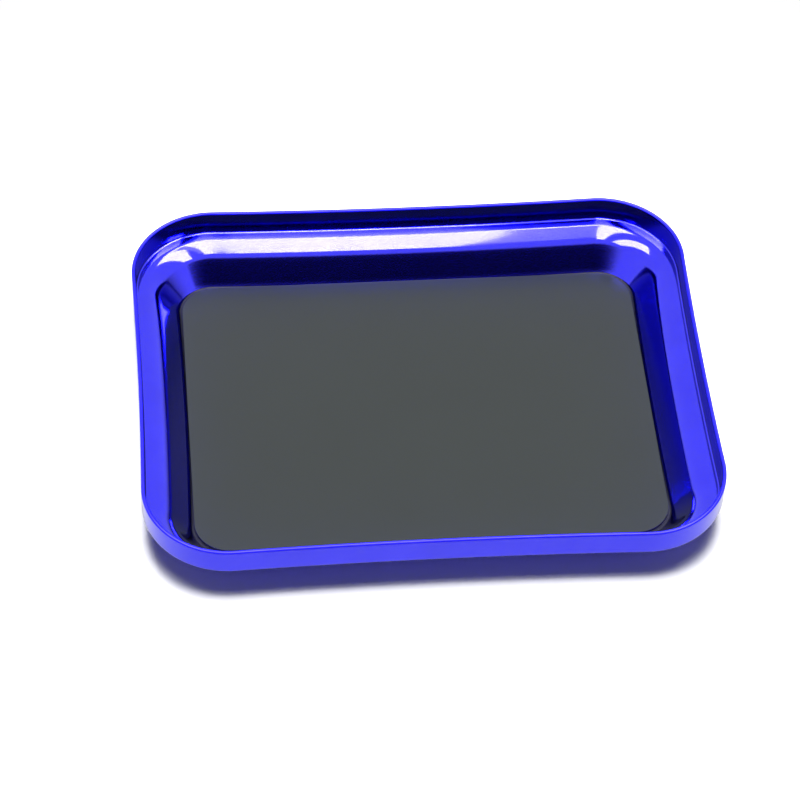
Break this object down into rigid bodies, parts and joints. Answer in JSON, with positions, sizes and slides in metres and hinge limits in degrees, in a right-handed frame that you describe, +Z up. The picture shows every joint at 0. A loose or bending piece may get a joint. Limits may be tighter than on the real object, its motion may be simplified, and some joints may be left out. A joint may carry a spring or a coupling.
{
  "type": "magnetic parts tray",
  "caption": "Small pressed blue sheet tray with rounded corners and an upright rim, its flat well lined with a dark gloss magnetic panel that holds small steel parts",
  "frame": {"origin": "middle of the flat underside, on the surface that the tray stands on", "axes": "X along the length, Y along the width towards the far side of the picture, Z up out of the well"},
  "size_m": [0.119, 0.095, 0.0142],
  "materials": {
    "blue_anodised_sheet": "bright anodised, mirror gloss",
    "adhesive": "matt double-sided adhesive",
    "ferrite_rubber": "matt cut edge",
    "panel_film": "gloss film"
  },
  "bodies": {
    "root": {"pressed_pan": "blue_anodised_sheet", "adhesive_sheet": "adhesive", "magnet_sheet": "ferrite_rubber", "gloss_film": "panel_film"}
  },
  "joints": []
}
